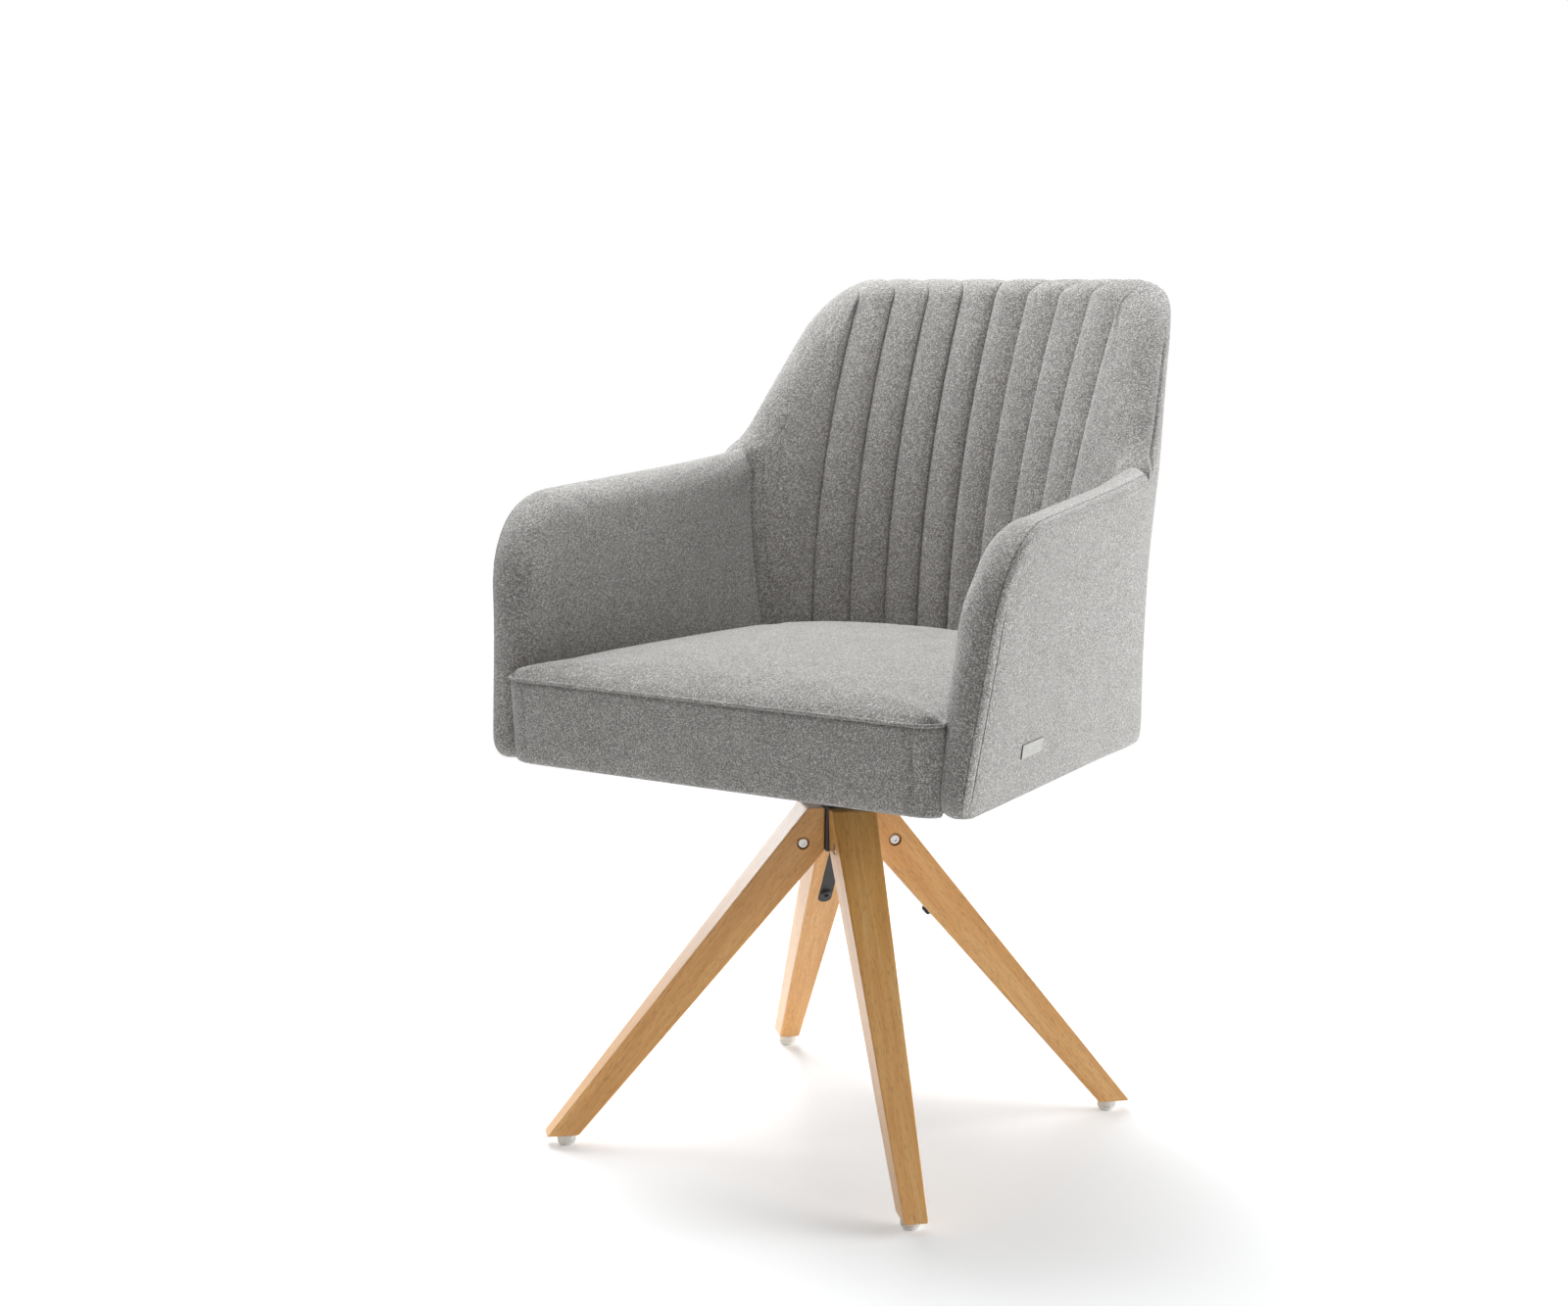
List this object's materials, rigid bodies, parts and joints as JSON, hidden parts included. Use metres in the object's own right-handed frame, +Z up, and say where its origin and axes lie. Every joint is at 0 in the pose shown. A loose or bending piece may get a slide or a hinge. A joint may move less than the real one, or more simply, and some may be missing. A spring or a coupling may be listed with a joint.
{
  "type": "swivel armchair",
  "caption": "Padded swivel armchair: a bucket seat with sewn upright channels in its back and low arms, turning on a steel hub over splayed wooden legs.",
  "frame": {"origin": "on the floor, under the middle of the chair's bounding box", "axes": "+Z up, -Y towards the chair's front; left and right are as seen from the front, so the right side is at +X"},
  "size_m": [0.5896, 0.5796, 0.8695],
  "materials": {
    "fabric": "matt woven",
    "beech": "oiled satin",
    "plywood": "raw",
    "lining": "matt",
    "black_steel": "satin black",
    "zinc_steel": "zinc plated",
    "bright_steel": "bright",
    "white_plastic": "matt white",
    "nylon": "natural"
  },
  "bodies": {
    "base": {"leg_rear_right": "beech", "hub_arm_rear_right": "black_steel", "arm_screw_rear_right": "black_steel", "cross_bolt_rear_right": "bright_steel", "sleeve_nut_rear_right": "bright_steel", "glide_rear_right": "white_plastic", "leg_rear_left": "beech", "hub_arm_rear_left": "black_steel", "arm_screw_rear_left": "black_steel", "cross_bolt_rear_left": "bright_steel", "sleeve_nut_rear_left": "bright_steel", "glide_rear_left": "white_plastic", "leg_front_left": "beech", "hub_arm_front_left": "black_steel", "arm_screw_front_left": "black_steel", "cross_bolt_front_left": "bright_steel", "sleeve_nut_front_left": "bright_steel", "glide_front_left": "white_plastic", "leg_front_right": "beech", "hub_arm_front_right": "black_steel", "arm_screw_front_right": "black_steel", "cross_bolt_front_right": "bright_steel", "sleeve_nut_front_right": "bright_steel", "glide_front_right": "white_plastic", "hub": "black_steel", "upper_bush": "nylon", "lower_bush": "nylon", "thrust_washer": "nylon"},
    "seat": {"spindle": "zinc_steel", "retaining_ring": "zinc_steel", "swivel_plate": "black_steel", "plate_bolt_left_front": "zinc_steel", "plate_bolt_left_rear": "zinc_steel", "plate_bolt_right_front": "zinc_steel", "plate_bolt_right_rear": "zinc_steel", "dust_cover": "lining", "seat_board": "plywood", "seat_cushion": "fabric", "arm_core_right": "plywood", "arm_core_left": "plywood", "arm_pad_right": "fabric", "arm_pad_left": "fabric", "side_panel_right": "fabric", "side_panel_left": "fabric", "back_board": "plywood", "outer_back": "fabric", "back_pad": "fabric", "label_plate": "bright_steel"}
  },
  "joints": [
    {"name": "swivel", "type": "hinge", "parent": "base", "child": "seat", "pos_m": [0, -0.04435, 0.35], "axis": [0, 0, 1], "continuous": true}
  ]
}
